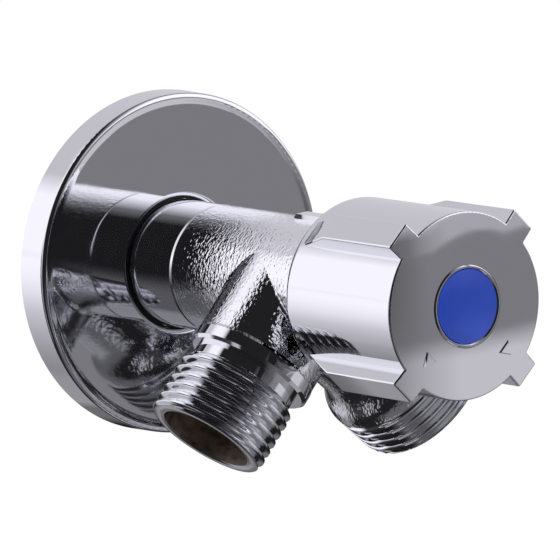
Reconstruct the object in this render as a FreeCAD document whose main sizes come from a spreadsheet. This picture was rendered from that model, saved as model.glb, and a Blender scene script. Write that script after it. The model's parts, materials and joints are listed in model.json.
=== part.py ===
import FreeCAD, Part
import Sketcher
import math
import os
from FreeCAD import Placement, Rotation, Vector

# Double angle ball valve for a wall outlet: one inlet, a half inch and a three
# quarter inch outlet, and one lugged handle on the axis of the inlet.
# Millimetres. X runs out of the wall along the inlet, Z is up, and the origin
# is where the inlet axis meets the wall.

SIZES = [
    # Wall disc
    ("disc_radius", 29.3, "outer radius at the wall"),
    ("disc_depth", 6.1, "wall to flat front"),
    ("disc_sheet", 0.9, "sheet thickness"),
    ("disc_round", 0.8, "rounding of the front rim"),
    ("bend_inside", 0.5, "inside of the bend from face to side wall"),
    ("crest_round", 2.0, "round top of the raised rim"),
    ("crest_hollow", 5.0, "hollow from the raised rim to the flat face"),
    ("crest_rise", 0.15, "height of the raised rim over the flat face"),
    ("disc_draft", 0.1, "how much the side wall narrows"),
    ("lip_gap", 0.4, "tube to the hole in the disc"),
    ("grip_play", 0.05, "tube to the soft ring in the disc"),
    ("lip_round", 0.9, "rounding of the hole edge"),
    ("lip_depth", 2.9, "how far the hole edge turns back"),
    ("disc_travel", 10.0, "how far the disc slides forward"),
    # Forged body
    ("body_radius", 10.95, "tube along the inlet axis"),
    ("inlet_length", 14.0, "threaded end behind the wall"),
    ("thread_stop", 1.0, "front end of the inlet thread, inside the disc"),
    ("inlet_relief", 9.3, "radius of the run-out groove"),
    ("relief_width", 1.4, "width of the run-out groove"),
    ("line_pos", 18.0, "line where the turned length ends"),
    ("line_width", 0.6, "width of that line"),
    ("line_depth", 0.17, "depth of that line"),
    ("line_slope", 0.48, "long slope of that line, on the side of the wall"),
    ("body_front", 59.0, "front face of the tube"),
    ("branch_pos", 40.0, "axis of the outlets from the wall"),
    ("branch_angle", 135.0, "outlet axis from straight up"),
    ("branch_radius", 10.85, "cast radius of a branch"),
    ("stop_rise", 0.95, "height of the stop bar over the tube"),
    ("stop_half", 1.2, "half width of the stop bar"),
    ("stop_start", 41.2, "rear end of the stop bar"),
    ("crease_round", 0.9, "rounding of the casting"),
    # Threads, as plain cylinders of the outside diameter
    ("half_inch", 10.4775, "outside radius, half inch pipe thread"),
    ("three_quarter", 13.2205, "outside radius, three quarter inch thread"),
    ("thread_chamfer", 0.45, "chamfer of a thread end"),
    # Left outlet, measured from the inlet axis
    ("forging_shift", 0.4, "how far the forging sits in front of the machined left thread"),
    ("collar_radius", 11.0, "gasket collar"),
    ("collar_start", 16.3, "rear of the collar"),
    ("collar_end", 18.7, "front of the collar"),
    ("collar_chamfer", 0.5, "edge of the collar"),
    ("neck_radius", 9.3, "run-out groove under the collar"),
    ("neck_end", 21.3, "where the left thread starts"),
    ("left_length", 32.05, "left mouth"),
    ("left_bore", 8.07, "bore of the left mouth"),
    # Right outlet
    ("flare_start", 17.7, "where the branch starts to widen"),
    ("flare_sweep", 6.0, "hollow radius of the widening"),
    ("flare_round", 4.5, "round radius that meets the right thread"),
    ("right_length", 32.95, "right mouth"),
    ("right_bore", 10.6, "bore of the right mouth"),
    ("widen_start", 2.8, "start of the widening to where the bore opens"),
    ("widen_run", 3.6, "length over which the bore opens"),
    # Inner bores
    ("inlet_bore", 5.5, "water way of the inlet"),
    ("seat_rear", 31.5, "floor of the rear seat pocket"),
    ("chamber_rear", 34.9, "rear of the ball chamber"),
    ("chamber_radius", 7.6, "ball chamber"),
    ("bonnet_rear", 47.8, "shoulder in front of the chamber"),
    ("bonnet_bore", 8.6, "bore that takes the bonnet"),
    ("bonnet_fit", 0.05, "radial clearance of the bonnet in its bore"),
    ("seal_chamfer", 0.9, "chamfer that takes the bonnet seal"),
    ("pocket_radius", 5.05, "pocket of an outlet seat"),
    ("pocket_floor", 8.4, "outlet seat to retainer"),
    ("retainer_bore", 6.9, "bore that takes a seat retainer"),
    ("retainer_end", 13.2, "end of that bore"),
    # Ball and seats
    ("ball_radius", 7.2, "ball"),
    ("ball_bore", 3.5, "rear hole of the ball"),
    ("ball_port", 3.0, "two side holes of the ball"),
    ("slot_half", 2.0, "half width of the drive slot"),
    ("slot_floor", 4.9, "floor of the slot from the ball centre"),
    ("seat_fit", 0.05, "seat face to ball"),
    ("seat_hole", 3.3, "hole of a seat"),
    ("rear_seat_radius", 6.3, "outer radius of the rear seat"),
    ("outlet_seat_start", 5.5, "inner end of an outlet seat"),
    ("outlet_seat_radius", 5.0, "outer radius of an outlet seat"),
    ("front_ring_radius", 7.4, "outer radius of the front ring"),
    ("front_ring_hole", 4.0, "hole of the front ring"),
    ("front_ring_rear", 45.2, "rear of the front ring"),
    ("retainer_radius", 6.85, "seat retainer"),
    ("retainer_length", 3.8, "length of a seat retainer"),
    ("retainer_key", 3.1, "half of the hexagon key in a retainer"),
    # Stem
    ("tang_half", 1.9, "half width of the tang"),
    ("tang_reach", 3.2, "half length of the tang"),
    ("shoulder_radius", 5.15, "stem shoulder"),
    ("shoulder_front", 50.0, "front of the stem shoulder"),
    ("stem_radius", 3.5, "stem"),
    ("ring_groove", 2.3, "bottom of a seal groove"),
    ("groove_width", 1.4, "width of a seal groove"),
    ("groove_one", 53.6, "rear seal groove"),
    ("groove_two", 57.6, "front seal groove"),
    ("clip_start", 66.25, "rear of the clip groove"),
    ("clip_width", 0.8, "width of the clip groove"),
    ("clip_groove", 2.95, "bottom of the clip groove"),
    ("spline_start", 67.8, "rear of the splines"),
    ("spline_radius", 3.4, "crest of a spline"),
    ("spline_depth", 0.3, "depth of a spline"),
    ("stem_end", 75.2, "front of the stem"),
    ("screw_hole", 2.0, "hole in the stem for the screw"),
    # Bonnet
    ("stem_fit", 0.05, "radial clearance of the stem in the bonnet"),
    ("bonnet_pocket", 5.25, "pocket for the stem shoulder"),
    ("washer_width", 0.8, "thickness of the thrust washer"),
    ("hex_across", 18.0, "across flats of the bonnet"),
    ("hex_front", 62.5, "front of the hexagon"),
    ("neck_front", 66.0, "front of the bonnet neck"),
    ("bonnet_neck", 6.2, "bonnet neck"),
    # Handle
    ("rest_turn", 4.0, "the handle stands this far clockwise of its mark"),
    ("handle_rear", 55.25, "rear edge of the handle"),
    ("handle_front", 84.36, "front face of the handle"),
    ("skirt_gap", 2.25, "tube to the inside of the handle"),
    ("handle_wall", 2.46, "wall of the barrel"),
    ("rear_round", 2.0, "rounding of the rear edge"),
    ("front_stock", 1.0, "length that the dome is cut from"),
    ("front_dome", 150.0, "radius of the domed front"),
    ("skirt_end", 79.4, "inner face of the front wall"),
    ("hub_radius", 6.9, "hub"),
    ("hub_rear", 67.8, "rear of the hub"),
    ("bush_radius", 5.0, "splined bush in the hub"),
    ("bush_front", 75.4, "front of the bush"),
    ("bush_fit", 0.02, "bush in the hub"),
    ("spline_fit", 0.08, "splines of stem and bush"),
    ("screw_seat", 77.8, "seat of the screw washer"),
    ("counterbore", 4.25, "room for the screw head"),
    ("lug_half", 2.55, "half width of a lug"),
    ("lug_rise", 2.8, "height of a lug over the barrel"),
    ("lug_root", 1.26, "how far a lug reaches into the barrel wall"),
    ("ramp_start", 57.3, "rear end of a lug"),
    ("ramp_drop", 0.46, "rear end of a lug below the barrel"),
    ("ramp_end", 65.7, "where a lug has its full height"),
    ("lug_edge", 0.35, "rounded edges of the lugs and of the front"),
    ("sector_rear", 55.9, "rear of the stop sector"),
    ("sector_width", 2.9, "length of the stop sector"),
    ("sector_gap", 0.4, "tube to the stop sector"),
    ("sector_start", 186.6, "first face of the stop sector from the top"),
    ("sector_angle", 76.8, "arc of the stop sector"),
    ("mark_root", 10.6, "base of a direction mark from the axis"),
    ("mark_tip", 12.9, "tip of a direction mark"),
    ("mark_half", 1.4, "half width of a direction mark"),
    ("mark_height", 0.5, "height of a direction mark over the front edge"),
    # Button
    ("recess_radius", 6.93, "recess in the handle front"),
    ("recess_floor", 82.2, "floor of the recess"),
    ("trim_radius", 6.88, "trim ring"),
    ("trim_proud", 0.25, "how far the trim ring stands out"),
    ("button_radius", 6.17, "cold water button"),
    ("button_gap", 0.03, "button to trim ring"),
    ("button_proud", 0.45, "crown of the button"),
    ("plug_radius", 4.15, "plug behind the button"),
    ("plug_length", 1.1, "length of the plug"),
    # Screw
    ("shank_radius", 1.95, "screw shank"),
    ("shank_end", 68.4, "tip of the screw"),
    ("head_radius", 3.5, "screw head"),
    ("head_height", 2.2, "height of the screw head"),
    ("spring_width", 0.7, "thickness of the spring washer"),
]

os.makedirs("parts", exist_ok=True)
doc = FreeCAD.newDocument("double_angle_valve")


class Size:
    """A number together with the sheet formula that gives it."""

    def __init__(self, value, text):
        self.value = float(value)
        self.text = text

    def __add__(self, other):
        other = size(other)
        return Size(self.value + other.value, "(%s + %s)" % (self.text, other.text))

    def __sub__(self, other):
        other = size(other)
        return Size(self.value - other.value, "(%s - %s)" % (self.text, other.text))

    def __mul__(self, other):
        other = size(other)
        return Size(self.value * other.value, "(%s * %s)" % (self.text, other.text))

    def __truediv__(self, other):
        other = size(other)
        return Size(self.value / other.value, "(%s / %s)" % (self.text, other.text))

    def __neg__(self):
        return size(0) - self

    def root(self):
        return Size(math.sqrt(self.value), "sqrt(%s)" % self.text)


def size(value):
    if isinstance(value, Size):
        return value
    return Size(value, "%.9g" % value)


def make_sheet():
    """Write every driving size to the sheet and return them by name."""
    sheet = doc.addObject("Spreadsheet::Sheet", "Dims")
    named = {}
    for row, (name, value, note) in enumerate(SIZES, start=1):
        sheet.set("A%d" % row, name)
        sheet.set("B%d" % row, "%.9g" % value)
        sheet.set("C%d" % row, note)
        sheet.setAlias("B%d" % row, name)
        named[name] = Size(value, "Dims." + name)
    doc.recompute()
    return named


D = make_sheet()

# Sizes that follow from the tube
LIP = D["body_radius"] + D["lip_gap"]
STOP_TOP = D["body_radius"] + D["stop_rise"]
SKIRT = D["body_radius"] + D["skirt_gap"]
BARREL = SKIRT + D["handle_wall"]
LUG_TOP = BARREL + D["lug_rise"]


def dome_at(radius):
    """Place of the domed front of the handle at a distance from the axis."""
    dome = D["front_dome"]
    rise = (dome * dome - radius * radius).root() - (dome * dome - BARREL * BARREL).root()
    return D["handle_front"] + rise


FACE = dome_at(D["recess_radius"])
CREST = D["disc_depth"] + D["crest_rise"]
PARTS = []


def bind(obj, prop, amount):
    """Tie a property to the sheet formula of a size."""
    obj.setExpression(prop, size(amount).text)


def new_body(name):
    body = doc.addObject("PartDesign::Body", name)
    PARTS.append(body)
    return body


def plane_of(body, role):
    for feature in body.Origin.OriginFeatures:
        if feature.Role == role:
            return feature
    raise ValueError(role)


def new_sketch(body, name, role="XZ_Plane", shift=None, turn=None):
    """Sketch on an origin plane, moved along X and turned about X if asked."""
    sketch = body.newObject("Sketcher::SketchObject", name)
    sketch.AttachmentSupport = (plane_of(body, role), [""])
    sketch.MapMode = "FlatFace"
    if shift is not None or turn is not None:
        angle = size(turn if turn is not None else 0)
        away = size(shift if shift is not None else 0)
        if role == "YZ_Plane":
            spot = Vector(0, 0, away.value)
            line = Vector(0, 0, 1)
            slot = "AttachmentOffset.Base.z"
        else:
            spot = Vector(away.value, 0, 0)
            line = Vector(1, 0, 0)
            slot = "AttachmentOffset.Base.x"
        sketch.AttachmentOffset = Placement(spot, Rotation(line, angle.value))
        if shift is not None:
            bind(sketch, slot, away)
        if turn is not None:
            bind(sketch, "AttachmentOffset.Rotation.Angle", angle)
    return sketch


def pin(sketch, geo, pos, spot):
    """Hold a point of the sketch at a place given by two sizes."""
    for kind, axis, amount in (("DistanceX", -2, spot[0]), ("DistanceY", -1, spot[1])):
        amount = size(amount)
        if abs(amount.value) < 1e-9:
            sketch.addConstraint(Sketcher.Constraint("PointOnObject", geo, pos, axis))
            continue
        index = sketch.addConstraint(
            Sketcher.Constraint(kind, -1, 1, geo, pos, amount.value))
        bind(sketch, "Constraints[%d]" % index, amount)


def outline(sketch, rows):
    """Closed outline through rows of (across, up) or (across, up, bend).

    A bend is the radius of the arc to the next row, positive when the arc runs
    anticlockwise and negative when it runs clockwise.
    """
    spots = [Vector(size(row[0]).value, size(row[1]).value, 0) for row in rows]
    ends = []
    for i, row in enumerate(rows):
        a = spots[i]
        b = spots[(i + 1) % len(rows)]
        if len(row) == 2:
            geo = sketch.addGeometry(Part.LineSegment(a, b), False)
            ends.append((geo, 1, 2))
            continue
        bend = size(row[2])
        radius = abs(bend.value)
        chord = b - a
        rise = math.sqrt(max(radius ** 2 - (chord.Length / 2) ** 2, 0))
        left = Vector(-chord.y, chord.x, 0).normalize()
        side = 1 if bend.value > 0 else -1
        centre = a + chord * 0.5 + left * (rise * side)
        first, last = (a, b) if side > 0 else (b, a)
        start = math.atan2(first.y - centre.y, first.x - centre.x)
        stop = math.atan2(last.y - centre.y, last.x - centre.x)
        if stop < start:
            stop += 2 * math.pi
        circle = Part.Circle(centre, Vector(0, 0, 1), radius)
        geo = sketch.addGeometry(Part.ArcOfCircle(circle, start, stop), False)
        ends.append((geo, 1, 2) if side > 0 else (geo, 2, 1))
        index = sketch.addConstraint(Sketcher.Constraint("Radius", geo, radius))
        bind(sketch, "Constraints[%d]" % index, bend if side > 0 else -bend)
    for i, (geo, start, stop) in enumerate(ends):
        after, begin, _ = ends[(i + 1) % len(ends)]
        sketch.addConstraint(Sketcher.Constraint("Coincident", geo, stop, after, begin))
        pin(sketch, geo, start, rows[i][:2])


def turned(body, name, rows, cut=False, axis="H_Axis", shift=None, turn=None, arc=None):
    """Turn an outline about the first (H) or second (V) axis of its sketch."""
    sketch = new_sketch(body, name + "_outline", shift=shift, turn=turn)
    outline(sketch, rows)
    kind = "PartDesign::Groove" if cut else "PartDesign::Revolution"
    feature = body.newObject(kind, name)
    feature.Profile = sketch
    feature.ReferenceAxis = (sketch, [axis])
    feature.Angle = 360
    if arc is not None:
        feature.Angle = arc.value
        bind(feature, "Angle", arc)
    sketch.Visibility = False
    doc.recompute()
    return feature


def padded(body, name, sketch, length, cut=False, middle=False, back=False):
    kind = "PartDesign::Pocket" if cut else "PartDesign::Pad"
    feature = body.newObject(kind, name)
    feature.Profile = sketch
    feature.Length = size(length).value
    bind(feature, "Length", length)
    feature.Midplane = middle
    feature.Reversed = back
    sketch.Visibility = False
    doc.recompute()
    return feature


def hexagon(sketch, half):
    """A hexagon about the sketch origin, half its width across flats given."""
    corner = half * (2 / math.sqrt(3))
    rows = []
    for x, y in ((0, 1), (-1, 0.5), (-1, -0.5), (0, -1), (1, -0.5), (1, 0.5)):
        rows.append((half * x if x else 0, corner * y))
    outline(sketch, rows)


def around(body, name, feature, count):
    """Repeat a feature about the X axis."""
    copies = body.newObject("PartDesign::PolarPattern", name)
    copies.Originals = [feature]
    for origin in body.Origin.OriginFeatures:
        if origin.Role == "X_Axis":
            copies.Axis = (origin, [""])
    copies.Angle = 360
    copies.Occurrences = count
    body.Tip = copies
    doc.recompute()
    return copies


def edges_where(feature, test):
    """Names of the edges for which the test holds."""
    names = []
    for i, edge in enumerate(feature.Shape.Edges, start=1):
        if test(edge):
            names.append("Edge%d" % i)
    return names


def rounded(body, name, feature, radius, test):
    fillet = body.newObject("PartDesign::Fillet", name)
    fillet.Base = (feature, edges_where(feature, test))
    fillet.Radius = radius.value
    bind(fillet, "Radius", radius)
    doc.recompute()
    return fillet


def with_handle(obj):
    """Turn a piece that moves with the handle to where the handle stands."""
    obj.Placement = Placement(Vector(0, 0, 0), Rotation(Vector(1, 0, 0), -D["rest_turn"].value))
    bind(obj, "Placement.Rotation.Angle", -D["rest_turn"])


def solid(kind, name, **sizes):
    """A primitive whose sizes are tied to the sheet."""
    obj = doc.addObject("Part::" + kind, name)
    for prop, amount in sizes.items():
        setattr(obj, prop, size(amount).value)
        bind(obj, prop, amount)
    obj.Visibility = False
    return obj


def place(obj, x=None, z=None, about=None):
    """Move a primitive by sizes, after an optional fixed turn."""
    x = size(0 if x is None else x)
    z = size(0 if z is None else z)
    turn = Rotation() if about is None else Rotation(Vector(*about[0]), about[1])
    obj.Placement = Placement(Vector(x.value, 0, z.value), turn)
    bind(obj, "Placement.Base.x", x)
    bind(obj, "Placement.Base.z", z)
    return obj


def minus(name, base, tools):
    joined = tools[0]
    if len(tools) > 1:
        joined = doc.addObject("Part::MultiFuse", name + "_tools")
        joined.Shapes = tools
        joined.Visibility = False
    cut = doc.addObject("Part::Cut", name)
    cut.Base = base
    cut.Tool = joined
    return cut


def ring(name, rows):
    """A part that is one turned outline."""
    body = new_body(name)
    turned(body, name + "_turned", rows)
    return body


# Wall disc and the soft ring that grips the tube

def make_escutcheon():
    sheet = D["disc_sheet"]
    depth = D["disc_depth"]
    radius = D["disc_radius"]
    rim = radius - D["disc_draft"]
    inner = D["bend_inside"]
    lip = LIP
    turn_in = D["lip_round"]
    top = rim - D["disc_round"]
    both = D["crest_round"] + D["crest_hollow"]
    rest = both - D["crest_rise"]
    width = (both * both - rest * rest).root()
    share = D["crest_round"] / both
    ring("escutcheon", [
        (0, radius - sheet),
        (0, radius),
        (CREST - D["disc_round"], rim, -D["disc_round"]),
        (CREST, top, -D["crest_round"]),
        (CREST - D["crest_rise"] * share, top - width * share, D["crest_hollow"]),
        (depth, top - width),
        (depth, lip + turn_in, -turn_in),
        (depth - turn_in, lip),
        (depth - D["lip_depth"], lip),
        (depth - D["lip_depth"], lip + sheet),
        (depth - turn_in - sheet, lip + sheet),
        (depth - sheet, lip + sheet + turn_in),
        (depth - sheet, rim - sheet - inner, inner),
        (depth - sheet - inner, rim - sheet),
    ])
    middle = depth - D["lip_depth"] * 0.62
    half = D["lip_depth"] * 0.3
    ring("grip_ring", [
        (middle - half, D["body_radius"] + D["grip_play"]),
        (middle + half, D["body_radius"] + D["grip_play"]),
        (middle + half, lip - 0.02),
        (middle - half, lip - 0.02),
    ])


# Forged body with its two branches

def flare():
    """Widening and length of the right branch, and the share of its first arc."""
    both = D["flare_sweep"] + D["flare_round"]
    widening = D["three_quarter"] - D["branch_radius"]
    rest = both - widening
    return widening, (both * both - rest * rest).root(), D["flare_sweep"] / both


def make_body():
    body = new_body("valve_body")
    tube = D["body_radius"]
    thread = D["half_inch"]
    bevel = D["thread_chamfer"]
    inlet = -D["inlet_length"]
    relief = D["thread_stop"]
    root = relief + D["relief_width"]
    turned(body, "tube", [
        (inlet, 0),
        (inlet, thread - bevel),
        (inlet + bevel, thread),
        (relief, thread),
        (relief, D["inlet_relief"]),
        (root, D["inlet_relief"]),
        (root, tube - 0.3),
        (root + 0.3, tube),
        (D["line_pos"] - D["line_width"], tube),
        (D["line_pos"] - D["line_width"] + D["line_slope"], tube - D["line_depth"]),
        (D["line_pos"], tube),
        (D["body_front"] - 0.3, tube),
        (D["body_front"], tube - 0.3),
        (D["body_front"], 0),
    ])
    cast = D["branch_radius"]
    collar = D["collar_radius"]
    edge = D["collar_chamfer"]
    start = D["collar_start"]
    stop = D["collar_end"]
    turned(body, "left_forging", [
        (0, 0),
        (cast, 0),
        (cast, start - edge),
        (collar, start),
        (collar, stop - edge),
        (collar - edge, stop),
        (0, stop),
    ], axis="V_Axis", shift=D["branch_pos"] + D["forging_shift"], turn=D["branch_angle"])
    turned(body, "left_thread", [
        (0, start),
        (D["neck_radius"], start),
        (D["neck_radius"], D["neck_end"] - 0.5),
        (thread, D["neck_end"] + 0.5),
        (thread, D["left_length"] - bevel),
        (thread - bevel, D["left_length"]),
        (0, D["left_length"]),
    ], axis="V_Axis", shift=D["branch_pos"], turn=D["branch_angle"])
    large = D["three_quarter"]
    widening, run, share = flare()
    turned(body, "right_branch", [
        (0, 0),
        (cast, 0),
        (cast, D["flare_start"], -D["flare_sweep"]),
        (cast + widening * share, D["flare_start"] + run * share, D["flare_round"]),
        (large, D["flare_start"] + run),
        (large, D["right_length"] - bevel),
        (large - bevel, D["right_length"]),
        (0, D["right_length"]),
    ], axis="V_Axis", shift=D["branch_pos"], turn=-D["branch_angle"])
    bar = new_sketch(body, "stop_bar_outline")
    outline(bar, [
        (D["stop_start"], tube - 1),
        (D["body_front"], tube - 1),
        (D["body_front"], STOP_TOP),
        (D["stop_start"] + 0.6, STOP_TOP),
        (D["stop_start"], STOP_TOP - 0.6),
    ])
    tip = padded(body, "stop_bar", bar, D["stop_half"] * 2, middle=True)
    return body, tip


def bore_body(body):
    """Water ways, ball chamber, seat pockets and the opening for the bonnet."""
    chamfer = D["seal_chamfer"]
    turned(body, "main_bore", [
        (-D["inlet_length"] - 1, 0),
        (-D["inlet_length"] - 1, D["inlet_bore"]),
        (D["seat_rear"], D["inlet_bore"]),
        (D["seat_rear"], D["rear_seat_radius"] + 0.05),
        (D["chamber_rear"], D["rear_seat_radius"] + 0.05),
        (D["chamber_rear"], D["chamber_radius"]),
        (D["bonnet_rear"], D["chamber_radius"]),
        (D["bonnet_rear"], D["bonnet_bore"]),
        (D["body_front"] - chamfer, D["bonnet_bore"]),
        (D["body_front"], D["bonnet_bore"] + chamfer),
        (D["body_front"] + 1, D["bonnet_bore"] + chamfer),
        (D["body_front"] + 1, 0),
    ], cut=True)
    for name, mouth, length, turn in (
            ("left", D["left_bore"], D["left_length"], D["branch_angle"]),
            ("right", D["right_bore"], D["right_length"], -D["branch_angle"])):
        wide = D["left_bore"]
        rows = [
            (0, D["outlet_seat_start"]),
            (D["pocket_radius"], D["outlet_seat_start"]),
            (D["pocket_radius"], D["pocket_floor"]),
            (D["retainer_bore"], D["pocket_floor"]),
            (D["retainer_bore"], D["retainer_end"]),
            (wide, D["retainer_end"] + 1.2),
        ]
        if name == "right":
            opening = D["flare_start"] + D["widen_start"]
            rows.append((wide, opening))
            rows.append((mouth, opening + D["widen_run"]))
        rows.append((mouth, length + 1))
        rows.append((0, length + 1))
        turned(body, name + "_bore", rows, cut=True, axis="V_Axis",
               shift=D["branch_pos"], turn=turn)


def is_crease(edge):
    """The two curves where a branch leaves the tube."""
    middle = edge.valueAt((edge.FirstParameter + edge.LastParameter) / 2)
    near = abs(math.hypot(middle.y, middle.z) - D["body_radius"].value) < 0.06
    span = edge.BoundBox
    return near and span.XLength > 3 and span.YLength > 3 and 25 < middle.x < 53


body, tip = make_body()
tip = rounded(body, "creases", tip, D["crease_round"], is_crease)
bore_body(body)
make_escutcheon()


# Ball and seats

def make_ball():
    whole = place(solid("Sphere", "ball_blank", Radius=D["ball_radius"]), x=D["branch_pos"])
    rear = solid("Cylinder", "ball_rear_hole", Radius=D["ball_bore"], Height=D["ball_radius"] + 1)
    place(rear, x=D["branch_pos"] + 0.8, about=((0, 1, 0), -90))
    tools = [rear]
    for name, angle in (("left", 135), ("right", -135)):
        port = solid("Cylinder", "ball_%s_port" % name, Radius=D["ball_port"],
                     Height=D["ball_radius"] + 1)
        tools.append(place(port, x=D["branch_pos"], about=((1, 0, 0), angle)))
    slot = solid("Box", "ball_slot", Length=D["ball_radius"], Width=D["slot_half"] * 2,
                 Height=D["ball_radius"] * 2)
    place(slot, x=D["branch_pos"] + D["slot_floor"], z=-D["ball_radius"])
    slot.Placement.Base.y = -D["slot_half"].value
    bind(slot, "Placement.Base.y", -D["slot_half"])
    tools.append(slot)
    ball = minus("ball", whole, tools)
    with_handle(ball)
    PARTS.append(ball)


def sphere_at(x, r):
    """Place on the face of a seat, r from the axis, behind the ball centre."""
    face = D["ball_radius"] + D["seat_fit"]
    return x - (face * face - r * r).root()


def make_seats():
    face = D["ball_radius"] + D["seat_fit"]
    hole = D["seat_hole"]
    centre = D["branch_pos"]
    front = D["chamber_rear"]
    reach = centre - front
    touch = (face * face - reach * reach).root()
    ring("rear_seat", [
        (D["seat_rear"], hole),
        (sphere_at(centre, hole), hole, -face),
        (front, touch),
        (front, D["rear_seat_radius"]),
        (D["seat_rear"], D["rear_seat_radius"]),
    ])
    rear = D["front_ring_rear"]
    back = rear - centre
    inner = (face * face - back * back).root()
    hole = D["front_ring_hole"]
    ring("front_ring", [
        (D["bonnet_rear"], hole),
        (D["bonnet_rear"], D["front_ring_radius"]),
        (rear, D["front_ring_radius"]),
        (rear, inner, -face),
        (centre + (face * face - hole * hole).root(), hole),
    ])
    hole = D["seat_hole"]
    start = D["outlet_seat_start"]
    outer = D["outlet_seat_radius"]
    for side, turn in (("left", D["branch_angle"]), ("right", -D["branch_angle"])):
        seat = new_body("%s_outlet_seat" % side)
        turned(seat, "%s_seat_turned" % side, [
            (hole, (face * face - hole * hole).root(), -face),
            ((face * face - start * start).root(), start),
            (outer, start),
            (outer, D["pocket_floor"]),
            (hole, D["pocket_floor"]),
        ], axis="V_Axis", shift=centre, turn=turn)
        nut = new_body("%s_seat_retainer" % side)
        end = D["pocket_floor"] + D["retainer_length"]
        turned(nut, "%s_retainer_turned" % side, [
            (0, D["pocket_floor"]),
            (D["retainer_radius"], D["pocket_floor"]),
            (D["retainer_radius"], end - 0.4),
            (D["retainer_radius"] - 0.4, end),
            (0, end),
        ], axis="V_Axis", shift=centre, turn=turn)
        key = nut.newObject("Sketcher::SketchObject", "%s_key" % side)
        key.AttachmentSupport = (plane_of(nut, "XY_Plane"), [""])
        key.MapMode = "FlatFace"
        key.AttachmentOffset = Placement(Vector(centre.value, 0, 0), Rotation(Vector(1, 0, 0), turn.value))
        bind(key, "AttachmentOffset.Base.x", centre)
        bind(key, "AttachmentOffset.Rotation.Angle", turn)
        hexagon(key, D["retainer_key"])
        padded(nut, "%s_key_hole" % side, key, D["pocket_floor"] * 2 + D["retainer_length"] * 2,
               cut=True, middle=True)


# Stem, bonnet and their seals

def make_stem():
    stem = new_body("stem")
    shaft = D["stem_radius"]
    deep = D["ring_groove"]
    rear = D["bonnet_rear"] + 0.1
    rows = [(rear, 0), (rear, D["shoulder_radius"]), (D["shoulder_front"], D["shoulder_radius"]),
            (D["shoulder_front"], shaft)]
    for groove in (D["groove_one"], D["groove_two"]):
        rows += [(groove, shaft), (groove, deep), (groove + D["groove_width"], deep),
                 (groove + D["groove_width"], shaft)]
    clip = D["clip_start"]
    rows += [(clip, shaft), (clip, D["clip_groove"]), (clip + D["clip_width"], D["clip_groove"]),
             (clip + D["clip_width"], D["spline_radius"]), (D["stem_end"] - 0.3, D["spline_radius"]),
             (D["stem_end"], D["spline_radius"] - 0.3), (D["stem_end"], D["screw_hole"]),
             (D["spline_start"], D["screw_hole"]), (D["spline_start"] - 1.1, 0)]
    turned(stem, "shaft", rows)
    tang = new_sketch(stem, "tang_outline")
    reach = D["tang_reach"]
    foot = D["branch_pos"] + D["slot_floor"] + 0.1
    outline(tang, [
        (foot, -reach + 0.9),
        (foot + 0.9, -reach),
        (rear, -reach),
        (rear, reach),
        (foot + 0.9, reach),
        (foot, reach - 0.9),
    ])
    padded(stem, "tang", tang, D["tang_half"] * 2, middle=True)
    crest = D["spline_radius"]
    teeth = new_sketch(stem, "spline_gap", role="YZ_Plane", shift=D["spline_start"])
    half = 0.42
    outline(teeth, [
        (0, crest - D["spline_depth"]),
        (half, crest + 0.1),
        (-half, crest + 0.1),
    ])
    gap = padded(stem, "spline_gap_cut", teeth, D["stem_end"] - D["spline_start"] + 1,
                 cut=True, back=True)
    around(stem, "splines", gap, 20)
    with_handle(stem)


def make_bush():
    """Splined bush that the hub of the handle is moulded on."""
    bush = new_body("handle_bush")
    rear = D["hub_rear"]
    front = D["bush_front"]
    play = D["spline_fit"]
    hole = D["spline_radius"] - D["spline_depth"] + play
    turned(bush, "bush_turned", [
        (rear, hole),
        (rear, D["bush_radius"] - 0.3),
        (rear + 0.3, D["bush_radius"]),
        (front - 0.3, D["bush_radius"]),
        (front, D["bush_radius"] - 0.3),
        (front, hole),
    ])
    gap = new_sketch(bush, "tooth_gap", role="YZ_Plane", shift=rear)
    half = 0.46
    outline(gap, [
        (-half, hole - 0.25),
        (half, hole - 0.25),
        (half, hole),
        (half * 0.45, D["spline_radius"] + play),
        (-half * 0.45, D["spline_radius"] + play),
        (-half, hole),
    ])
    groove = padded(bush, "tooth_gap_cut", gap, (front - rear) * 2, cut=True, middle=True)
    around(bush, "inner_splines", groove, 20)
    turned_half = size(9)
    bush.Placement = Placement(Vector(0, 0, 0),
                               Rotation(Vector(1, 0, 0), -D["rest_turn"].value + turned_half.value))
    bind(bush, "Placement.Rotation.Angle", turned_half - D["rest_turn"])


def make_bonnet():
    bonnet = new_body("bonnet")
    outer = D["bonnet_bore"] - D["bonnet_fit"]
    pocket = D["shoulder_front"] + D["washer_width"]
    bore = D["stem_radius"] + D["stem_fit"]
    turned(bonnet, "bonnet_turned", [
        (D["bonnet_rear"], D["bonnet_pocket"]),
        (D["bonnet_rear"], outer),
        (D["body_front"] + 0.05, outer),
        (D["body_front"] + 0.05, D["neck_radius"]),
        (D["hex_front"], D["neck_radius"]),
        (D["hex_front"], D["bonnet_neck"]),
        (D["neck_front"] - 0.4, D["bonnet_neck"]),
        (D["neck_front"], D["bonnet_neck"] - 0.4),
        (D["neck_front"], bore),
        (pocket, bore),
        (pocket, D["bonnet_pocket"]),
    ])
    nut = new_sketch(bonnet, "bonnet_hexagon", role="YZ_Plane", shift=D["body_front"] + 0.05)
    hexagon(nut, D["hex_across"] / 2)
    pad = padded(bonnet, "bonnet_hex", nut, D["hex_front"] - D["body_front"] - 0.05)
    turned(bonnet, "hex_clear", [
        (D["body_front"] - 0.5, 0),
        (D["body_front"] - 0.5, bore),
        (D["neck_front"] + 1, bore),
        (D["neck_front"] + 1, 0),
    ], cut=True)
    return pad


def torus_ring(name, middle, radius, thick):
    """A round seal on the X axis."""
    seal = solid("Torus", name, Radius1=radius, Radius2=thick)
    return place(seal, x=middle, about=((0, 1, 0), 90))


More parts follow.
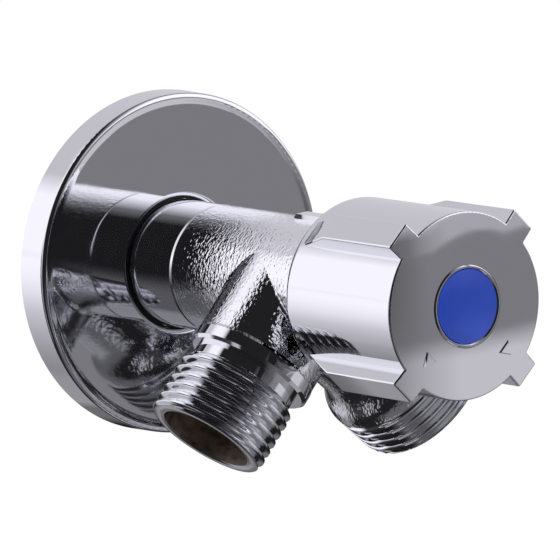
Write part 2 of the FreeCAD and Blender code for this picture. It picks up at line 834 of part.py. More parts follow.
def make_seals():
    thick = (D["stem_radius"] - D["ring_groove"]) / 2 - 0.01
    rings = []
    for name, groove in (("rear_ring", D["groove_one"]), ("front_stem_ring", D["groove_two"])):
        rings.append(torus_ring(name, groove + D["groove_width"] / 2, D["ring_groove"] + thick + 0.01, thick))
    pair = doc.addObject("Part::Compound", "stem_seals")
    pair.Links = rings
    with_handle(pair)
    PARTS.append(pair)
    chamfer = D["seal_chamfer"]
    cross = chamfer * 0.29
    seal = torus_ring("bonnet_seal", D["body_front"] - cross, D["bonnet_bore"] + cross, cross - 0.01)
    seal.Visibility = True
    PARTS.append(seal)
    ring("thrust_washer", [
        (D["shoulder_front"] + 0.02, D["stem_radius"] + 0.08),
        (D["shoulder_front"] + 0.02, D["bonnet_pocket"] - 0.05),
        (D["shoulder_front"] + D["washer_width"], D["bonnet_pocket"] - 0.05),
        (D["shoulder_front"] + D["washer_width"], D["stem_radius"] + 0.08),
    ])


def make_clip():
    """Open spring clip in the groove of the stem."""
    clip = new_body("stem_clip")
    start = D["clip_start"] + 0.05
    stop = D["clip_start"] + D["clip_width"] - 0.05
    turned(clip, "clip_turned", [
        (start, D["clip_groove"] + 0.02),
        (start, D["stem_radius"] + 1.3),
        (stop, D["stem_radius"] + 1.3),
        (stop, D["clip_groove"] + 0.02),
    ])
    mouth = new_sketch(clip, "clip_mouth", role="YZ_Plane", shift=start)
    width = D["clip_groove"] * 0.75
    outline(mouth, [
        (-width, 0),
        (width, 0),
        (width, D["stem_radius"] + 3),
        (-width, D["stem_radius"] + 3),
    ])
    padded(clip, "clip_mouth_cut", mouth, D["clip_width"] * 4, cut=True, middle=True)
    with_handle(clip)


# Handle shell with its four lugs

def make_handle():
    handle = new_body("handle_shell")
    rear = D["handle_rear"]
    front = D["handle_front"]
    barrel = BARREL
    blank = front + D["front_stock"]
    turned(handle, "barrel", [
        (rear, SKIRT),
        (rear, barrel - D["rear_round"], -D["rear_round"]),
        (rear + D["rear_round"], barrel),
        (blank, barrel),
        (blank, D["recess_radius"]),
        (D["recess_floor"], D["recess_radius"]),
        (D["recess_floor"], D["counterbore"]),
        (D["screw_seat"], D["counterbore"]),
        (D["screw_seat"], D["screw_hole"] + 0.3),
        (D["bush_front"], D["screw_hole"] + 0.3),
        (D["bush_front"], D["bush_radius"] + D["bush_fit"]),
        (D["hub_rear"], D["bush_radius"] + D["bush_fit"]),
        (D["hub_rear"], D["hub_radius"]),
        (D["skirt_end"] - 1, D["hub_radius"], 1),
        (D["skirt_end"], D["hub_radius"] + 1),
        (D["skirt_end"], SKIRT - 1, 1),
        (D["skirt_end"] - 1, SKIRT),
    ])
    side = new_sketch(handle, "lug_outline", turn=size(45))
    outline(side, [
        (D["ramp_start"], BARREL - D["lug_root"]),
        (blank, BARREL - D["lug_root"]),
        (blank, LUG_TOP),
        (D["ramp_end"], LUG_TOP),
        (D["ramp_start"], BARREL - D["ramp_drop"]),
    ])
    lug = padded(handle, "lug", side, D["lug_half"] * 2, middle=True)
    around(handle, "lugs", lug, 4)
    reach = LUG_TOP + 2
    domed = turned(handle, "front_dome_cut", [
        (dome_at(size(0)), 0, D["front_dome"]),
        (dome_at(reach), reach),
        (blank + 1, reach),
        (blank + 1, 0),
    ], cut=True)

    def is_front_edge(edge):
        return all(math.hypot(vertex.Y, vertex.Z) > BARREL.value - 0.1
                   and vertex.X > front.value - 0.8 for vertex in edge.Vertexes)

    def is_lug_edge(edge):
        if is_front_edge(edge):
            return True
        if edge.Curve.TypeId != "Part::GeomLine":
            return False
        start, stop = (vertex.Point for vertex in edge.Vertexes)
        middle = (start + stop) * 0.5
        outward = math.hypot(middle.y, middle.z)
        level = abs(math.hypot(start.y, start.z) - math.hypot(stop.y, stop.z)) < 0.2
        sloping = abs(start.x - stop.x) > 1
        crossing = abs(middle.x - D["ramp_end"].value) < 0.01
        return outward > BARREL.value + 1 and (level or sloping) and not crossing

    rounded(handle, "lug_edges", domed, D["lug_edge"], is_lug_edge)
    reach = D["sector_rear"] + D["sector_width"]
    turned(handle, "stop_sector", [
        (D["sector_rear"], D["body_radius"] + D["sector_gap"]),
        (reach, D["body_radius"] + D["sector_gap"]),
        (reach, SKIRT + 0.3),
        (D["sector_rear"], SKIRT + 0.3),
    ], turn=D["sector_start"], arc=D["sector_angle"])
    for number, angle in ((1, 135), (2, -135)):
        mark = new_sketch(handle, "mark_%s" % "ab"[number - 1], role="YZ_Plane", shift=front,
                          turn=size(angle))
        outline(mark, [
            (-D["mark_half"], D["mark_root"]),
            (D["mark_half"], D["mark_root"]),
            (0, D["mark_tip"]),
        ])
        padded(handle, "direction_mark_%s" % "ab"[number - 1], mark, D["mark_height"])
    with_handle(handle)


def make_button():
    front = FACE
    floor = D["recess_floor"] + 0.02
    inner = D["button_radius"] + D["button_gap"]
    top = front + D["trim_proud"]
    trim = ring("button_trim", [
        (floor, inner),
        (top - 0.3, inner),
        (top, inner + 0.25),
        (top, D["trim_radius"] - 0.2),
        (top - 0.25, D["trim_radius"]),
        (floor, D["trim_radius"]),
    ])
    with_handle(trim)
    crown = front + D["button_proud"]
    edge = front + 0.05
    rise = crown - edge
    dome = (D["button_radius"] * D["button_radius"] + rise * rise) / (rise * 2)
    button = ring("button", [
        (floor, 0),
        (crown, 0, dome),
        (edge, D["button_radius"]),
        (floor, D["button_radius"]),
        (floor, D["plug_radius"]),
        (floor - D["plug_length"], D["plug_radius"] - 0.15),
        (floor - D["plug_length"], D["plug_radius"] - 0.9),
        (floor - 0.05, D["plug_radius"] - 0.9),
    ])
    with_handle(button)


def make_screw():
    seat = D["screw_seat"] + D["spring_width"]
    top = seat + D["head_height"]
    screw = ring("handle_screw", [
        (D["shank_end"], 0),
        (D["shank_end"], D["shank_radius"] - 0.4),
        (D["shank_end"] + 0.4, D["shank_radius"]),
        (seat, D["shank_radius"]),
        (seat, D["head_radius"]),
        (top - 0.8, D["head_radius"], 0.8),
        (top, D["head_radius"] - 0.8),
        (top, 0),
    ])
    for name, turn in (("one", 0), ("two", 90)):
        slot = new_sketch(screw, "cross_" + name, turn=size(turn))
        outline(slot, [
            (top - 1.1, -1.9),
            (top + 0.2, -2.3),
            (top + 0.2, 2.3),
            (top - 1.1, 1.9),
        ])
        padded(screw, "cross_cut_" + name, slot, 0.8, cut=True, middle=True)
    with_handle(screw)
    washer = new_body("spring_washer")
    turned(washer, "washer_turned", [
        (D["screw_seat"], D["shank_radius"] + 0.15),
        (D["screw_seat"], D["head_radius"] + 0.2),
        (seat, D["head_radius"] + 0.2),
        (seat, D["shank_radius"] + 0.15),
    ])
    split = new_sketch(washer, "washer_split", role="YZ_Plane", shift=D["screw_seat"])
    outline(split, [(-0.3, 0), (0.3, 0), (0.3, 5), (-0.3, 5)])
    padded(washer, "washer_split_cut", split, D["spring_width"] * 4, cut=True, middle=True)
    with_handle(washer)


make_ball()
make_seats()
make_stem()
make_bonnet()
make_seals()
make_clip()
make_bush()
make_handle()
make_button()
make_screw()
doc.recompute()

for obj in doc.Objects:
    if "Invalid" in obj.State or "Error" in obj.State:
        raise RuntimeError("%s failed: %s" % (obj.Name, obj.State))
for part in PARTS:
    if part.Shape.isNull() or not part.Shape.isValid():
        raise RuntimeError("%s has no valid shape" % part.Label)
    part.Shape.exportStep("parts/%s.step" % part.Label)
    print(part.Label, round(part.Shape.Volume, 1), len(part.Shape.Solids), len(part.Shape.Faces))
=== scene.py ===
import json
import math

import bmesh
import bpy
import numpy as np
from mathutils import Matrix, Vector


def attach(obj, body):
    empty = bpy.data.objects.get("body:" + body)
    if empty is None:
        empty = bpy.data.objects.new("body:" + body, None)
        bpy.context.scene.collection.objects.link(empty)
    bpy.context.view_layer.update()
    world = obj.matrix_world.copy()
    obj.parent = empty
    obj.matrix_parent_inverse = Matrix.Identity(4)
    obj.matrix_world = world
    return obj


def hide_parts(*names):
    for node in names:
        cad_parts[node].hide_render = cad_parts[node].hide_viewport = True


# A chromed double angle valve in a light tent. Lengths in the code are
# millimetres and become metres when they enter a mesh.

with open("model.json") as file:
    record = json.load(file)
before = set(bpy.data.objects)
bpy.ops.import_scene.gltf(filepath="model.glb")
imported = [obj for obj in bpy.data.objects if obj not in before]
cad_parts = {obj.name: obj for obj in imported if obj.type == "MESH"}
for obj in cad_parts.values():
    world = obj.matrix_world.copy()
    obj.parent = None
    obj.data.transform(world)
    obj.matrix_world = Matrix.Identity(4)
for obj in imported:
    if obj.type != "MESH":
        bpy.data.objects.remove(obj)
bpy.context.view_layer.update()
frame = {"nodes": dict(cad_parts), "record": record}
MM = 0.001
DIAGONAL = math.sqrt(0.5)

# Pipe threads: 14 turns to the inch, flanks at 55 degrees, rounded. Crest and
# flank are shares of a turn: half of a crest, and the flank beside it.
PITCH = 25.4 / 14
THREAD_DEPTH = 1.162
CREST_HALF = 0.1
FLANK = 0.4
HALF_INCH = 10.4775
THREE_QUARTER = 13.2205
ENTRY = 0.5
FOOT_SLOPE = 1.2
MOUTH_CROWN = 0.13
MOUTH_ROWS = 15
ROWS_PER_TURN = 44
POINTS_ROUND = 200

# Inlet axis along X, with the branches 40 mm from the wall
ORIGIN = np.zeros(3)
BRANCH_START = np.array([40.0, 0.0, 0.0])
WALLWARD = np.array([-1.0, 0.0, 0.0])
OFF_WALL = -WALLWARD
LEFT = np.array([0.0, -DIAGONAL, -DIAGONAL])
RIGHT = np.array([0.0, DIAGONAL, -DIAGONAL])

# Threads: start, axis, outside radius, bore, first and last distance, radius
# at the foot, and the length over which the thread grows in
THREADS = {
    "inlet_thread": (ORIGIN, WALLWARD, HALF_INCH, 8.6, -0.98, 14.01, 9.3, 0.01),
    "left_outlet_thread": (BRANCH_START, LEFT, HALF_INCH, 8.12, 20.9, 32.06, 9.35, 0.01),
    "right_outlet_thread": (BRANCH_START, RIGHT, THREE_QUARTER, 10.9, 24.4, 32.96, 13.2, 1.4),
}
# The casting's plain thread cylinders are drawn in under them: start, axis,
# distance beyond which and radius over which points move, and their new radius
DRAWN_IN = (
    (ORIGIN, WALLWARD, -1.05, 9.4, 9.0),
    (BRANCH_START, LEFT, 20.9, 9.4, 9.0),
    (BRANCH_START, RIGHT, 24.6, 11.4, 11.3),
)
THREAD_REACH = 13.4
FLARE_CUTS = (24.55, 24.62)

# Where the casting is turned: the tube up to its fine line, the branches from
# the collar and from the end of the flare, and the top of the stop bar
TUBE_LINE = 18.0
TURNED_FROM = ((LEFT, 16.2), (RIGHT, 24.5))
STOP_START = 40.8
STOP_HALF = 4.0
STOP_FOOT = 10.97
# Bores: the branches' start, their widest radius and the seat steps in them,
# and the inlet's widest radius
BRANCH_BORE_START = 5.0
BRANCH_BORE = 10.8
STEP_END = 30.0
STEP_RADIUS = 8.0
INLET_BORE = 9.7
# How far a face turns towards its axis to count as bore, or along it as a step
BRANCH_INWARD = -0.2
INLET_INWARD = -0.5
STEP_FACING = 0.9

# Domed front of the handle: a sphere through the edge of the barrel. The
# direction marks stand on it between two radii.
FRONT_EDGE = 84.36
BARREL = 15.66
DOME = 150.0
DOME_PLAY = 0.03
DOME_FACING = 0.99
MARK_HEIGHT = 0.5
MARK_PLAY = 0.005
MARK_RADII = (10.0, 13.3)
MARK_LIFT = 0.2
MARK_TOP_SHARE = 0.78


# Nodes and colours

def linear(code):
    """Linear colour from an sRGB hex code."""
    parts = [int(code[i:i + 2], 16) / 255 for i in (1, 3, 5)]
    return [c / 12.92 if c <= 0.04045 else ((c + 0.055) / 1.055) ** 2.4 for c in parts] + [1.0]


def add(tree, kind, values=(), links=(), **settings):
    """One node with its settings, its fixed inputs and its links."""
    made = tree.nodes.new("ShaderNode" + kind)
    for name, value in settings.items():
        setattr(made, name, value)
    for socket, value in dict(values).items():
        made.inputs[socket].default_value = value
    for socket, source in dict(links).items():
        tree.links.new(source, made.inputs[socket])
    return made


def new_material(name, surface="BsdfPrincipled", **values):
    """A material with one surface shader, and that shader's node."""
    made = bpy.data.materials.new(name)
    made.use_nodes = True
    tree = made.node_tree
    tree.nodes.clear()
    shader = add(tree, surface, {key.replace("_", " "): value for key, value in values.items()})
    add(tree, "OutputMaterial", links={"Surface": shader.outputs[0]})
    return made, tree, shader


def speckle(tree, size_mm, detail, squeeze=(1.0, 1.0, 1.0)):
    """Noise whose blotches are about size_mm across, on object coordinates."""
    place = add(tree, "TexCoord")
    drawn = add(tree, "VectorMath", {1: squeeze}, {0: place.outputs["Object"]}, operation="MULTIPLY")
    return add(tree, "TexNoise", {"Scale": 1 / (size_mm * MM), "Detail": detail},
               {"Vector": drawn.outputs[0]}).outputs["Fac"]


def spread(tree, value, low, high, to_low, to_high):
    """Value carried from one range to another and clamped there."""
    return add(tree, "MapRange",
               {"From Min": low, "From Max": high, "To Min": to_low, "To Max": to_high},
               {"Value": value}).outputs["Result"]


def carve(tree, shader, *layers):
    """Bumps over each other on a shader: pairs of a height and its full depth in mm."""
    below = {}
    for height, depth_mm in layers:
        relief = add(tree, "Bump", {"Distance": depth_mm * MM}, {"Height": height, **below})
        below = {"Normal": relief.outputs["Normal"]}
    tree.links.new(relief.outputs["Normal"], shader.inputs["Normal"])


def grained(name, code, size_mm, detail, depth_mm, low, shine, **values):
    """A material whose one grain gives its relief and carries its roughness through a range."""
    made, tree, shader = new_material(name, Base_Color=linear(code), **values)
    grain = speckle(tree, size_mm, detail)
    tree.links.new(spread(tree, grain, low, 0.7, *shine), shader.inputs["Roughness"])
    carve(tree, shader, (grain, depth_mm))
    return made


def stained(name, codes, size_mm, detail, cover, depth_mm, **values):
    """A material of two colours in blotches, which also give its relief."""
    made, tree, shader = new_material(name, **values)
    stain = speckle(tree, size_mm, detail)
    mix = add(tree, "MixRGB", {"Color1": linear(codes[0]), "Color2": linear(codes[1])},
              {"Fac": spread(tree, stain, *cover)})
    tree.links.new(mix.outputs[0], shader.inputs["Base Color"])
    carve(tree, shader, (stain, depth_mm))
    return made


def forged_chrome():
    """Chrome plate over a forged brass skin.

    The skin was only tumbled, so its swells and pits, 0.7 and 0.4 mm across,
    break every reflection.
    """
    made, tree, shader = new_material("chrome_plate_on_forged_brass", Base_Color=linear("#E3E4E8"),
                                      Metallic=1.0, Roughness=0.04)
    swells = speckle(tree, 0.7, 1.0, squeeze=(1.3, 1.1, 0.75))
    pits = speckle(tree, 0.4, 0.5)
    carve(tree, shader, (swells, 0.095), (pits, 0.022))
    tree.links.new(spread(tree, pits, 0.35, 0.7, 0.015, 0.05), shader.inputs["Roughness"])
    return made


def moulded_chrome(name):
    """Chrome plate over a smooth moulded or pressed skin, with long faint waves."""
    return grained(name, "#E0E1E5", 7.0, 1.0, 0.012, 0.35, (0.03, 0.06), Metallic=1.0, Roughness=0.04)


def dulled_brass(name, code, shine):
    """Bare brass in the bores: turned, then stained by plating salts."""
    return stained(name, (code, "#66543F"), 1.8, 4.0, (0.42, 0.72, 0.0, 0.8), 0.02,
                   Base_Color=linear(code), Metallic=1.0, Roughness=shine)


def matt_seal(name, code, shine, depth_mm):
    """Rubber or PTFE: matt, with a fine grain."""
    return grained(name, code, 0.35, 3.0, depth_mm, 0.3, (shine - 0.08, shine + 0.08), Roughness=shine)


# Meshes

def rows_of(items, name, width=3, kind=float):
    """One attribute of many mesh items as an array with a row for each."""
    values = np.empty(len(items) * width, kind)
    items.foreach_get(name, values)
    return values.reshape(-1, width)


def to_object(name, mesh, body, slot, *nodes):
    """A piece of the valve that rides on a body and may stand for CAD nodes."""
    made = bpy.data.objects.new(name, mesh)
    bpy.context.scene.collection.objects.link(made)
    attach(made, body)
    if nodes:
        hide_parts(*nodes)
    return made


def merged(node):
    """A copy of a CAD node's mesh with its loose triangles joined.

    The copy carries stored normals, which would hide its sharp edges, so they go.
    """
    mesh = frame["nodes"][node].data.copy()
    if "custom_normal" in mesh.attributes:
        mesh.attributes.remove(mesh.attributes["custom_normal"])
    work = bmesh.new()
    work.from_mesh(mesh)
    bmesh.ops.remove_doubles(work, verts=work.verts, dist=1e-7)
    work.to_mesh(mesh)
    work.free()
    mesh.materials.clear()
    return mesh


def smooth(made, angle=26):
    """Smooth shading that keeps edges over an angle and leans to the larger faces."""
    made.data.shade_smooth()
    made.data.set_sharp_from_angle(angle=math.radians(angle))
    weigh = made.modifiers.new("larger_faces_first", "WEIGHTED_NORMAL")
    weigh.mode = "FACE_AREA_WITH_ANGLE"
    weigh.keep_sharp = True
    return made


def sloped_marks(mesh):
    """Raise the tops of the two direction marks a little and slope their sides."""
    points = rows_of(mesh.vertices, "co") / MM
    reach = np.hypot(points[:, 1], points[:, 2])
    level = np.abs(points[:, 0] - FRONT_EDGE - MARK_HEIGHT) < MARK_PLAY
    tops = level & (reach > MARK_RADII[0]) & (reach < MARK_RADII[1])
    for side in (-1, 1):
        mark = tops & (points[:, 1] * side > 0)
        middle = points[mark].mean(0)
        points[mark] = middle + (points[mark] - middle) * MARK_TOP_SHARE + MARK_LIFT * OFF_WALL
    mesh.vertices.foreach_set("co", (points * MM).ravel())
    mesh.update()


def true_dome(made):
    """Give the domed front of the handle the normals of its sphere."""
    graph = bpy.context.evaluated_depsgraph_get()
    mesh = bpy.data.meshes.new_from_object(made.evaluated_get(graph), preserve_all_data_layers=True,
                                           depsgraph=graph)
    made.modifiers.clear()
    made.data = mesh
    normals = rows_of(mesh.corner_normals, "vector")
    index = rows_of(mesh.loops, "vertex_index", 1, int)[:, 0]
    ray = rows_of(mesh.vertices, "co")[index] / MM
    ray[:, 0] -= FRONT_EDGE - math.sqrt(DOME ** 2 - BARREL ** 2)
    far = np.linalg.norm(ray, axis=1)
    ray /= far[:, None]
    corners = rows_of(mesh.polygons, "loop_total", 1, int)[:, 0]
    flat = np.repeat(rows_of(mesh.polygons, "normal"), corners, axis=0)
    on_dome = (far > DOME - DOME_PLAY) & ((flat * ray).sum(1) > DOME_FACING)
    normals[on_dome] = ray[on_dome]
    mesh.normals_split_custom_set(normals.tolist())


def grid_mesh(name, points):
    """Mesh of a grid of points with the shape (rows, columns, 3), closed both ways."""
    rows, columns = points.shape[:2]
    row, column = np.meshgrid(np.arange(rows), np.arange(columns), indexing="ij")
    next_row = (row + 1) % rows
    next_column = (column + 1) % columns
    quads = np.stack([row * columns + column, row * columns + next_column,
                      next_row * columns + next_column, next_row * columns + column], -1)
    mesh = bpy.data.meshes.new(name)
    mesh.from_pydata((points.reshape(-1, 3) * MM).tolist(), [], quads.reshape(-1, 4).tolist())
    mesh.update()
    return mesh


def outward(mesh):
    """Turn the faces of a closed mesh outward."""
    work = bmesh.new()
    work.from_mesh(mesh)
    bmesh.ops.remove_doubles(work, verts=work.verts, dist=1e-8)
    bmesh.ops.recalc_face_normals(work, faces=work.faces)
    work.to_mesh(mesh)
    work.free()
    return mesh


def along(start, axis, distance, radius, angle):
    """Points at a distance along an axis, at a radius and an angle round it."""
    first = np.array([1.0, 0.0, 0.0]) if abs(axis[0]) < 0.5 else np.array([0.0, 1.0, 0.0])
    second = np.cross(axis, first)
    return (start + distance[..., None] * axis
            + radius[..., None] * (np.cos(angle)[..., None] * first + np.sin(angle)[..., None] * second))


def across(points, start, axis):
    """Distance along an axis, distance from it, and the unit way out from it."""
    away = points - start
    s = away @ axis
    out = away - s[:, None] * axis
    r = np.linalg.norm(out, axis=1)
    return s, r, out / np.maximum(r, 1e-6)[:, None]


def eased(share):
    """0 to 1 with a level start and end."""
    return share * share * (3 - 2 * share)


def thread(name, start, axis, major, bore, first, last, foot, run_in):
    """A sleeve with an outside pipe thread.

    Radius = major - depth * w(s / pitch - angle / turn), where w is a rounded
    wave between 0 on a crest and 1 at a root. Its depth grows from 0 over
    run_in beyond the first end. Cones cut both ends, the first from the radius
    foot and the last to the radius major - ENTRY. The end face is crowned:
    s = last + MOUTH_CROWN * (1 - u * u), with u 1 at its outer edge and -1 at
    its bore.
    """
    turns = np.linspace(0, 2 * np.pi, POINTS_ROUND, endpoint=False)
    steps = np.linspace(first, last, int((last - first) / PITCH * ROWS_PER_TURN))
    s, angle = np.meshgrid(steps, turns, indexing="ij")
    place = (s / PITCH - angle / (2 * np.pi)) % 1.0
    beside = 0.5 - np.abs(place - 0.5)
    wave = np.clip((beside - CREST_HALF) / FLANK, 0, 1)
    wave = 0.5 * wave + 0.5 * eased(wave)
    grown = eased(np.clip((s - first + 0.01) / run_in, 0, 1))
    edge = major - ENTRY
    radius = major - THREAD_DEPTH * wave * grown
    radius = np.minimum(radius, foot + (s - first) * FOOT_SLOPE)
    radius = np.minimum(radius, edge + (last - s))
    ring = np.ones((1, POINTS_ROUND))
    mouth = np.linspace(1, -1, MOUTH_ROWS)[:, None] * ring
    s = np.vstack([ring * first, s, last + MOUTH_CROWN * (1 - mouth ** 2), ring * first])
    radius = np.vstack([ring * bore, radius, bore + (edge - bore) * (1 + mouth) / 2, ring * bore])
    angle = np.vstack([angle[:1], angle, np.repeat(angle[:1], MOUTH_ROWS + 1, axis=0)])
    return grid_mesh(name, along(start, axis, s, radius, angle))


def threads():
    """The three threaded sleeves, of turned brass with chrome plate."""
    for name, sizes in THREADS.items():
        mesh = outward(thread(name, *sizes))
        mesh.materials.append(TURNED)
        smooth(to_object(name, mesh, "body", "body_chrome"), 40)


def cut_flare(mesh):
    """Edges round the right branch where its flare ends, so that only the thread is drawn in."""
    work = bmesh.new()
    work.from_mesh(mesh)
    for reach in FLARE_CUTS:
        spot = Vector(BRANCH_START + RIGHT * reach) * MM
        bmesh.ops.bisect_plane(work, geom=work.verts[:] + work.edges[:] + work.faces[:],
                               plane_co=spot, plane_no=Vector(RIGHT), dist=1e-7)
    work.to_mesh(mesh)
    work.free()


def draw_in_threads(mesh):
    """Narrow the plain thread cylinders of the casting, to make room for the sleeves."""
    points = rows_of(mesh.vertices, "co") / MM
    for start, axis, beyond, over, narrowed in DRAWN_IN:
        s, r, _ = across(points, start, axis)
        drawn = (s > beyond) & (r > over) & (r < THREAD_REACH)
        centre = start + s[:, None] * axis
        points[drawn] = (centre + (points - centre) * (narrowed / np.maximum(r, 1e-6))[:, None])[drawn]
    mesh.vertices.foreach_set("co", (points * MM).ravel())
    mesh.update()


def casting_finish(mesh):
    """For each face of the casting 0 where it is forged, 1 where turned and 2 in the bores."""
    centres = rows_of(mesh.polygons, "center") / MM
    normals = rows_of(mesh.polygons, "normal")
    x, y, z = centres.T
    finish = np.zeros(len(centres), int)
    finish[x < TUBE_LINE] = 1
    finish[(z > STOP_FOOT) & (np.abs(y) < STOP_HALF) & (x > STOP_START)] = 1
    for axis, turned_from in TURNED_FROM:
        s, r, out = across(centres, BRANCH_START, axis)
        finish[(s > turned_from) & (r < THREAD_REACH)] = 1
        steps = (np.abs(normals @ axis) > STEP_FACING) & (s < STEP_END) & (r < STEP_RADIUS)
        inside = ((normals * out).sum(1) < BRANCH_INWARD) | steps
        finish[inside & (s > BRANCH_BORE_START) & (r < BRANCH_BORE)] = 2
    s, r, out = across(centres, ORIGIN, OFF_WALL)
    finish[((normals * out).sum(1) < INLET_INWARD) & (r < INLET_BORE)] = 2
    return finish


def valve_casting():
    """The forged body: the CAD solid, with room for the sleeves that carry the real threads."""
    mesh = merged("valve_body")
    cut_flare(mesh)
    draw_in_threads(mesh)
    made = to_object("valve_casting", mesh, "body", "body_chrome", "valve_body")
    for finish in (FORGED, TURNED, BORE):
        mesh.materials.append(finish)
    mesh.polygons.foreach_set("material_index", casting_finish(mesh))
    smooth(made, 14)


FORGED = forged_chrome()
# Chrome plate over turned brass: a mirror, with the faint waves of polishing
TURNED = grained("chrome_plate_on_turned_brass", "#E3E4E8", 2.5, 1.0, 0.006, 0.35, (0.035, 0.075),
                 Metallic=1.0, Roughness=0.05)
MOULDED = moulded_chrome("chrome_plate_on_moulded_abs")
PRESSED = moulded_chrome("chrome_plate_on_pressed_steel")
BORE = dulled_brass("bare_brass_dulled", "#CBBDB0", 0.46)
BRASS = dulled_brass("bare_brass_turned", "#B8925A", 0.3)
# Zinc plate over spring and screw steel
STEEL = grained("zinc_plated_steel", "#C9CBCC", 0.3, 3.0, 0.004, 0.3, (0.2, 0.36),
                Metallic=1.0, Roughness=0.28)
RUBBER = matt_seal("black_nitrile_rubber", "#161617", 0.55, 0.01)
PTFE = matt_seal("white_ptfe", "#EDEDE8", 0.45, 0.006)
# Blue ABS, moulded glossy, its colour hardly uneven
BLUE = stained("glossy_blue_abs", ("#284CC2", "#2C54D0"), 6.0, 1.0, (0.35, 0.65, 0.0, 1.0), 0.01,
               Base_Color=linear("#2A50C9"), Roughness=0.22, IOR=1.54)

valve_casting()
threads()

FINISH = {
    "escutcheon": PRESSED, "handle_shell": MOULDED, "button_trim": MOULDED, "button": BLUE,
    "ball": TURNED, "rear_seat": PTFE, "front_ring": PTFE, "left_outlet_seat": PTFE,
    "right_outlet_seat": PTFE, "thrust_washer": PTFE, "left_seat_retainer": BRASS,
    "right_seat_retainer": BRASS, "stem": BRASS, "bonnet": BRASS, "handle_bush": BRASS,
    "stem_seals": RUBBER, "bonnet_seal": RUBBER, "grip_ring": RUBBER, "stem_clip": STEEL,
    "spring_washer": STEEL, "handle_screw": STEEL,
}
BODY_OF = {node: body for body, nodes in frame["record"]["behaviour"]["bodies"].items() for node in nodes}
SLOT_OF = {row["node"]: row["material_slot"] for row in frame["record"]["subparts"]}
for node, finish in FINISH.items():
    mesh = merged(node)
    mesh.materials.append(finish)
    if node == "handle_shell":
        sloped_marks(mesh)
    made = smooth(to_object(node + "_finished", mesh, BODY_OF[node], SLOT_OF[node], node))
    if node == "handle_shell":
        true_dome(made)


# Light tent. Each cloth, panel or card is a strength and its edges: an edge is
# an axis, where the piece has ended and where it is full. Later ones lie over
# earlier ones. Directions are unit vectors from the valve: x out of the wall,
# y to the right, z up. lean and bow are two slanted axes, explained below.

TENT = (
    # White cloth behind, with brighter panels behind on the left and overhead
    (0.70, ("lean", 0.17, -0.09), ("z", -0.30, -0.05)),
    (1.25, ("lean", 0.17, -0.09), ("y", -0.27, -0.42), ("z", -0.02, 0.12)),
    (1.20, ("lean", 0.17, -0.09), ("y", -0.05, -0.30), ("z", 0.62, 0.74)),
    # Bright strip along the wall, below the panels, fading downward
    (1.26, ("x", -0.60, -0.74), ("y", -0.02, -0.12), ("y", -0.78, -0.68), ("z", -0.80, 0.05),
     ("z", -0.68, -0.64), ("z", 0.12, 0.05)),
    # Dim wall under the valve, and the paler patch that the disc's rim mirrors
    (0.18, ("x", -0.45, -0.60), ("y", -0.05, 0.10), ("z", -0.38, -0.50), ("z", -0.85, -0.70)),
    (0.37, ("x", -0.60, -0.74), ("y", -0.20, -0.10), ("y", 0.24, 0.16), ("z", -0.67, -0.63),
     ("z", -0.50, -0.57)),
    # Dark gap at the far left, and the upright card in front of it
    (0.05, ("x", -0.72, -0.62), ("x", -0.14, -0.32), ("y", -0.60, -0.74), ("z", 0.32, 0.10)),
    (0.55, ("x", -0.25, -0.18), ("x", -0.02, -0.08), ("y", -0.30, -0.40), ("z", -0.62, -0.52),
     ("z", 0.0, -0.1)),
    # Table top below the front
    (0.15, ("x", -0.1, 0.1), ("y", -0.68, -0.45), ("z", -0.10, -0.30)),
    (0.34, ("x", 0.0, 0.2), ("y", -0.12, 0.0), ("z", -0.38, -0.52), ("z", -0.92, -0.80)),
    # Grey cloth at the right and the pale cards under it
    (0.255, ("x", -0.10, 0.05), ("y", 0.30, 0.50), ("z", 0.10, 0.0), ("z", -0.98, -0.85)),
    (0.70, ("x", 0.30, 0.45), ("y", 0.34, 0.56), ("z", -0.23, -0.27), ("z", -0.50, -0.42)),
    (0.55, ("x", 0.20, 0.42), ("y", 0.30, 0.42), ("z", -0.42, -0.50), ("z", -0.90, -0.70)),
    # Lamp at the front right, with the glow beside it and below it
    (0.20, ("x", -0.05, 0.05), ("y", -0.05, 0.13), ("z", 0.0, 0.15)),
    (0.50, ("x", 0.50, 0.60), ("y", 0.46, 0.56), ("bow", -0.05, -0.04)),
    (1.35, ("x", -0.05, 0.05), ("y", 0.16, 0.48), ("bow", -0.01, 0.10), ("z", 1.02, 0.72)),
)
BLACK_CLOTH = 0.018
TENT_TINT = (0.987, 0.964, 1.03, 1)
TENT_RADIUS = 3.0
# lean is x + 0.4 z above the horizon: the panels' upright edge slants back.
# bow is z + 3 (y - 0.6)^2, at most 0.02 over z: the lamp's lower edge sags.
LEAN = 0.4
BOW_MIDDLE = 0.6
BOW_BEND = 3.0
BOW_LIMIT = 0.02


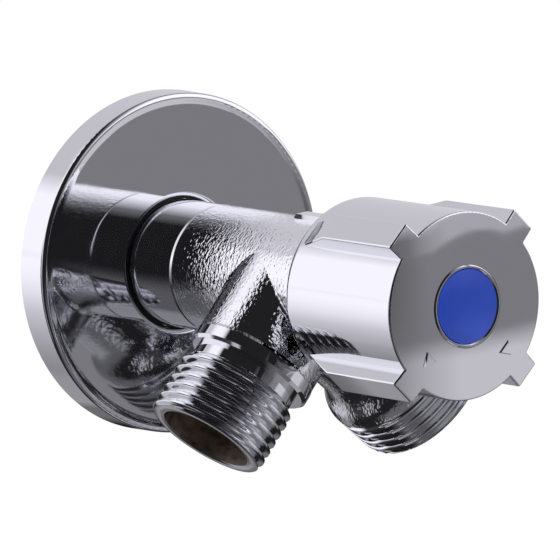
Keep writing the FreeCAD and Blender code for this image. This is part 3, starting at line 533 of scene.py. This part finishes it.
def light_tent():
    """A sphere of light round the valve that only its reflections and its shading see."""
    made, tree, shader = new_material("light_tent_cloth", "Emission", Color=TENT_TINT)
    place = add(tree, "TexCoord")
    way = add(tree, "VectorMath", links={0: place.outputs["Object"]}, operation="NORMALIZE")
    split = add(tree, "SeparateXYZ", links={0: way.outputs[0]})
    axes = dict(zip("xyz", split.outputs))

    def math_node(operation, first, second):
        """One step of arithmetic; each side is a socket or a number."""
        node = add(tree, "Math", operation=operation)
        for socket, side in zip(node.inputs, (first, second)):
            if isinstance(side, (int, float)):
                socket.default_value = side
            else:
                tree.links.new(side, socket)
        return node.outputs[0]

    above = math_node("MULTIPLY", math_node("MAXIMUM", axes["z"], 0.0), LEAN)
    axes["lean"] = math_node("ADD", axes["x"], above)
    off = math_node("SUBTRACT", axes["y"], BOW_MIDDLE)
    curve = math_node("MULTIPLY", math_node("MULTIPLY", off, off), BOW_BEND)
    axes["bow"] = math_node("ADD", axes["z"], math_node("MINIMUM", curve, BOW_LIMIT))
    below = {}
    for strength, *edges in TENT:
        cover = 1.0
        for axis, ended, full in edges:
            cover = math_node("MULTIPLY", spread(tree, axes[axis], ended, full, 0, 1), cover)
        cloth = add(tree, "MapRange", {"To Min": BLACK_CLOTH, "To Max": strength},
                    {"Value": cover, **below})
        below = {"To Min": cloth.outputs["Result"]}
    tree.links.new(cloth.outputs["Result"], shader.inputs["Strength"])
    made.cycles.emission_sampling = "NONE"
    bpy.ops.mesh.primitive_uv_sphere_add(segments=48, ring_count=24, radius=TENT_RADIUS)
    tent = bpy.context.object
    tent.name = "light_tent"
    tent.data.materials.append(made)
    tent.visible_camera = False
    tent.visible_shadow = False


# Fill lamp: place and side in metres, power in watts
LAMP_PLACE = Vector((1.1, -0.1, 0.45))
LAMP_SIDE = 0.8
LAMP_POWER = 5.5


def fill_lamp():
    """Soft lamp in front for the plastic pieces; metal doesn't mirror it."""
    lamp = bpy.data.lights.new("fill_lamp", "AREA")
    lamp.shape = "SQUARE"
    lamp.size = LAMP_SIDE
    lamp.energy = LAMP_POWER
    made = bpy.data.objects.new("fill_lamp", lamp)
    bpy.context.scene.collection.objects.link(made)
    facing = LAMP_PLACE.to_track_quat("Z", "Y").to_matrix().to_4x4()
    made.matrix_world = Matrix.Translation(LAMP_PLACE) @ facing
    made.visible_glossy = False
    made.visible_camera = False


# Floor: a disc, its radius and place in metres
FLOOR_RADIUS = 0.3
FLOOR_PLACE = (0.04, 0, -1.2)


def floor():
    """Pale painted floor with a faint roller texture."""
    made, tree, shader = new_material("pale_floor_paint", Base_Color=linear("#D4D4D6"), Roughness=0.7)
    carve(tree, shader, (speckle(tree, 4.0, 2.0), 0.05))
    bpy.ops.mesh.primitive_circle_add(vertices=96, radius=FLOOR_RADIUS, fill_type="NGON",
                                      location=FLOOR_PLACE)
    board = bpy.context.object
    board.name = "floor"
    board.data.materials.append(made)


def white_world():
    """The white background, at the strength where the camera sees plain white."""
    world = bpy.data.worlds.new("white_room")
    bpy.context.scene.world = world
    world.use_nodes = True
    shade = world.node_tree.nodes["Background"]
    shade.inputs["Color"].default_value = (1, 1, 1, 1)
    shade.inputs["Strength"].default_value = 1.0


# Camera, fitted to the valve's circles: degrees to the left, up and of roll,
# the point it looks at in mm, its distance in m and its focal length in pixels
CAMERA_TURN, CAMERA_RISE, CAMERA_ROLL = 36.192, 10.394, -5.154
LOOKED_AT = (41, -5.149, 1.234)
CAMERA_DISTANCE = 1.5
FOCAL_PIXELS = 8963.78
PHOTO_PIXELS = 560
SENSOR = 36


def camera():
    """The camera of the photograph."""
    turn, rise, roll = (math.radians(v) for v in (CAMERA_TURN, CAMERA_RISE, CAMERA_ROLL))
    back = Vector((math.cos(turn) * math.cos(rise), -math.sin(turn) * math.cos(rise), math.sin(rise)))
    level = (-back).cross(Vector((0, 0, 1))).normalized()
    upright = level.cross(-back)
    side = level * math.cos(roll) + upright * math.sin(roll)
    top = upright * math.cos(roll) - level * math.sin(roll)
    lens = bpy.data.cameras.new("photo_camera")
    lens.sensor_width = SENSOR
    lens.lens = FOCAL_PIXELS * SENSOR / PHOTO_PIXELS
    lens.clip_start = 0.1
    lens.clip_end = 20
    made = bpy.data.objects.new("photo_camera", lens)
    bpy.context.scene.collection.objects.link(made)
    spot = Vector(LOOKED_AT) * MM + back * CAMERA_DISTANCE
    made.matrix_world = Matrix.Translation(spot) @ Matrix((side, top, back)).transposed().to_4x4()
    bpy.context.scene.camera = made


light_tent()
fill_lamp()
floor()
white_world()
camera()
bpy.context.scene.view_settings.view_transform = "Standard"
